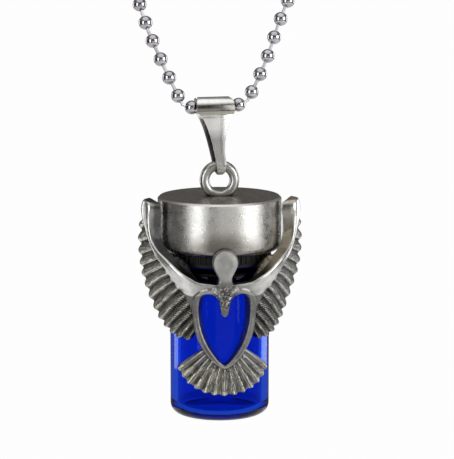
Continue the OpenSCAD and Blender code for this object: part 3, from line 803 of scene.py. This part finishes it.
def make_bail():
    """A strip led from the fold up the front leaf, over the roll and down the back leaf."""
    fold = arc((0.0, -BAIL_REACH), FOLD_R, -80, -10, 7)
    roll = arc((0.0, 0.0), ROLL_R, -25, 85, 22)
    front = fold + list(BAIL_LEAF) + roll
    path = front + [(0.0, ROLL_R)] + [(-out, height) for out, height in reversed(front)]
    foot = -(BAIL_REACH + FOLD_R)
    half, shift = across_bail(foot)
    put_all_down()
    bpy.ops.mesh.primitive_plane_add(size=1, location=(shift * MM, 0, foot * MM))
    piece = bpy.context.object
    piece.name = "bail_strip"
    piece.scale = (2 * half * MM, 2 * path[0][0] * MM, 1)
    settle(piece)
    open_up(piece, "EDGE")
    pick(piece, lambda at: at.y < -0.9 * path[0][0] * MM, "edges")
    bpy.ops.transform.translate(value=(0, 0, (path[0][1] - foot) * MM))
    for here, there in zip(path, path[1:]):
        next_half, next_shift = across_bail(there[1])
        bpy.ops.mesh.extrude_region_move(TRANSFORM_OT_translate={"value": (
            (next_shift - shift) * MM, (here[0] - there[0]) * MM, (there[1] - here[1]) * MM
        )})
        middle = (next_shift * MM, -there[0] * MM, there[1] * MM)
        bpy.ops.transform.resize(value=(next_half / half, 1, 1), center_override=middle)
        half, shift = next_half, next_shift
    bpy.ops.mesh.select_all(action="SELECT")
    bpy.ops.mesh.remove_doubles(threshold=0.05 * MM)
    bpy.ops.mesh.normals_make_consistent(inside=False)
    bpy.ops.object.mode_set(mode="OBJECT")
    wall = piece.modifiers.new("wall", "SOLIDIFY")
    wall.thickness = 0.34 * MM
    wall.offset = -1.0
    wall.use_even_offset = True
    edge = piece.modifiers.new("edge", "BEVEL")
    edge.width = 0.11 * MM
    edge.segments = 3
    edge.limit_method = "ANGLE"
    edge.angle_limit = math.radians(55)
    apply_all(piece)
    piece.rotation_euler = (0, 0, BAIL_TURN)
    piece.location = ROLL
    settle(piece)
    smooth(piece, 32)
    return piece


bail = make_bail()
wear(bail, BRUSHED, "bail", "bail_steel", "bail")


def make_vial():
    """The hollow vial, turned from foot to lip and down the inside, with its thread."""
    body, neck, mouth, wall = 8.625, 6.6, 4.5, 1.2
    foot, shoulder, lip, floor = -38.35, -11.6, -3.4, 1.1
    heel, shoulder_r, lip_r, corner, inner_shoulder = 1.8, 2.0, 0.5, 1.6, 2.4
    inner = body - wall
    outline = (
        [(0.3, foot + 0.35), (5.0, foot + 0.28), (6.3, foot)]
        + arc((body - heel, foot + heel), heel, -84, 0, 9)
        + arc((body - shoulder_r, shoulder - shoulder_r), shoulder_r, 0, 86, 8)
        + [(neck, shoulder + 0.15), (neck, lip - 0.4)]
        + arc((neck - lip_r, lip - lip_r), lip_r, 0, 90, 4)
        + arc((mouth + lip_r, lip - lip_r), lip_r, 90, 180, 4)
        + [(mouth, shoulder - 1.0)]
        + arc((inner - inner_shoulder, shoulder - 3.7), inner_shoulder, 70, 0, 6)
        + arc((inner - corner, foot + floor + corner), corner, 0, -86, 8)
        + [(5.0, foot + floor), (2.5, foot + 1.2), (0.3, foot + 1.25)]
    )
    piece = turn_on_lathe("vial_glass", outline, 128)
    thread = make_thread(neck, -4.9, 2.5, 1.75)
    weld = piece.modifiers.new("weld", "BOOLEAN")
    weld.operation = "UNION"
    weld.object = thread
    apply_all(piece)
    put_all_down()
    thread.select_set(True)
    bpy.ops.object.delete()
    smooth(piece, 40)
    return piece


def make_thread(radius, start, pitch, turns):
    """A rounded ridge that winds down the vial's neck."""
    put_all_down()
    bpy.ops.mesh.primitive_circle_add(
        vertices=10, radius=0.62 * MM, fill_type="NOTHING", location=PENDANT,
        rotation=(math.radians(90), 0, 0),
    )
    ridge = bpy.context.object
    ridge.name = "neck_thread"
    open_up(ridge)
    bpy.ops.mesh.select_all(action="SELECT")
    bpy.ops.transform.resize(value=(1, 1, 0.75), center_override=PENDANT)
    bpy.ops.transform.translate(value=(radius * MM, 0, start * MM))
    bpy.ops.object.mode_set(mode="OBJECT")
    take(ridge)
    bpy.ops.object.transform_apply(location=False, rotation=True, scale=True)
    wind = ridge.modifiers.new("wind", "SCREW")
    wind.axis = "Z"
    wind.angle = math.radians(360 * turns)
    wind.screw_offset = -pitch * turns * MM
    wind.steps = wind.render_steps = 96
    apply_all(ridge)
    open_up(ridge, "EDGE")
    bpy.ops.mesh.select_non_manifold()
    bpy.ops.mesh.edge_face_add()
    bpy.ops.mesh.select_all(action="DESELECT")
    bpy.ops.mesh.select_non_manifold()
    bpy.ops.mesh.fill_holes(sides=0)
    bpy.ops.object.mode_set(mode="OBJECT")
    tidy_faces(ridge)
    return ridge


vial = make_vial()
wear(vial, COBALT, "vial", "cobalt_glass", "glass_vial")


def make_floor():
    """A wide pale disc below the pendant."""
    put_all_down()
    bpy.ops.mesh.primitive_circle_add(
        vertices=96, radius=0.55, fill_type="NGON", location=(0, -0.105, -0.42)
    )
    floor = bpy.context.object
    floor.name = "pale_floor"
    floor.data.materials.append(pale_floor())
    settle(floor)


def softbox(name, direction, distance, wide, high, power, colour):
    """A soft panel that faces the pendant. Direction is from the pendant."""
    put_all_down()
    aim = PENDANT + Vector((0, 0, -0.012))
    towards = Vector(direction).normalized()
    bpy.ops.object.light_add(type="AREA", location=aim + towards * distance)
    lamp = bpy.context.object
    lamp.name = name
    lamp.rotation_euler = (-towards).to_track_quat("-Z", "Y").to_euler()
    lamp.data.shape = "RECTANGLE"
    lamp.data.size = wide
    lamp.data.size_y = high
    lamp.data.energy = power
    lamp.data.color = colour


def make_lights():
    """Softboxes on both sides, in front and behind, and a weak light from the ceiling."""
    white, warm = (0.99, 1.0, 0.99), (1, 0.98, 0.95)
    softbox("softbox_left", (-0.719, -0.695, 0.15), 0.62, 0.28, 0.5, 1.2, white)
    softbox("softbox_right", (0.82, -0.57, 0.2), 0.62, 0.46, 0.5, 2.2, white)
    softbox("softbox_back_left", (-0.79, 0.61, 0.05), 0.62, 0.2, 0.4, 0.55, white)
    softbox("softbox_back_right", (0.82, 0.57, 0.05), 0.62, 0.34, 0.4, 0.85, white)
    softbox("softbox_front", (0.14, -0.99, -0.09), 0.9, 0.72, 0.4, 0.55, warm)
    put_all_down()
    bpy.ops.object.light_add(type="SUN", location=(0, 0, 1))
    ceiling = bpy.context.object
    ceiling.name = "ceiling_light"
    ceiling.data.energy = 0.9
    ceiling.data.angle = math.radians(80)
    ceiling.rotation_euler = (math.radians(12), 0, 0)


def make_world():
    """Dim walls for the metal to reflect, white to the camera and through the glass."""
    world = bpy.data.worlds.new("studio")
    bpy.context.scene.world = world
    world.use_nodes = True
    nodes, links = world.node_tree.nodes, world.node_tree.links
    place = nodes.new("ShaderNodeTexCoord")
    split = nodes.new("ShaderNodeSeparateXYZ")
    height = nodes.new("ShaderNodeMapRange")
    height.inputs["From Min"].default_value = -1.0
    walls = nodes.new("ShaderNodeValToRGB")
    stops = (
        (0.0, (0.3, 0.3, 0.3)), (0.35, (0.12, 0.115, 0.105)), (0.46, (0.06, 0.055, 0.05)),
        (0.55, (0.07, 0.065, 0.06)), (0.75, (0.16, 0.155, 0.15)), (1.0, (0.45, 0.45, 0.45)),
    )
    elements = walls.color_ramp.elements
    while len(elements) < len(stops):
        elements.new(0.5)
    for element, (position, colour) in zip(elements, stops):
        element.position = position
        element.color = (*colour, 1)
    seen = nodes.new("ShaderNodeLightPath")
    straight = nodes.new("ShaderNodeMath")
    straight.operation = "MAXIMUM"
    mix = nodes.new("ShaderNodeMix")
    mix.data_type = "RGBA"
    mix.inputs[7].default_value = (0.985, 0.985, 0.985, 1)
    links.new(place.outputs["Generated"], split.inputs["Vector"])
    links.new(split.outputs["Z"], height.inputs["Value"])
    links.new(height.outputs["Result"], walls.inputs["Fac"])
    links.new(seen.outputs["Is Camera Ray"], straight.inputs[0])
    links.new(seen.outputs["Is Transmission Ray"], straight.inputs[1])
    links.new(straight.outputs["Value"], mix.inputs["Factor"])
    links.new(walls.outputs["Color"], mix.inputs[6])
    links.new(mix.outputs[2], nodes["Background"].inputs["Color"])


def make_camera():
    """The photo's view, from a little to the left of the front and above."""
    put_all_down()
    eye = PENDANT + Vector((-33.47, -398.6, 60.0)) * MM
    aim = PENDANT + Vector((1.3, 0.0, -6.0)) * MM
    bpy.ops.object.camera_add(location=eye)
    camera = bpy.context.object
    camera.name = "photo_camera"
    camera.rotation_euler = (aim - eye).to_track_quat("-Z", "Y").to_euler()
    camera.data.sensor_fit = "HORIZONTAL"
    camera.data.sensor_width = 36
    camera.data.lens = 184.8
    camera.data.clip_start = 0.01
    camera.data.clip_end = 40
    bpy.context.scene.camera = camera


make_floor()
make_lights()
make_world()
make_camera()
bpy.context.scene.view_settings.view_transform = "Standard"
put_all_down()
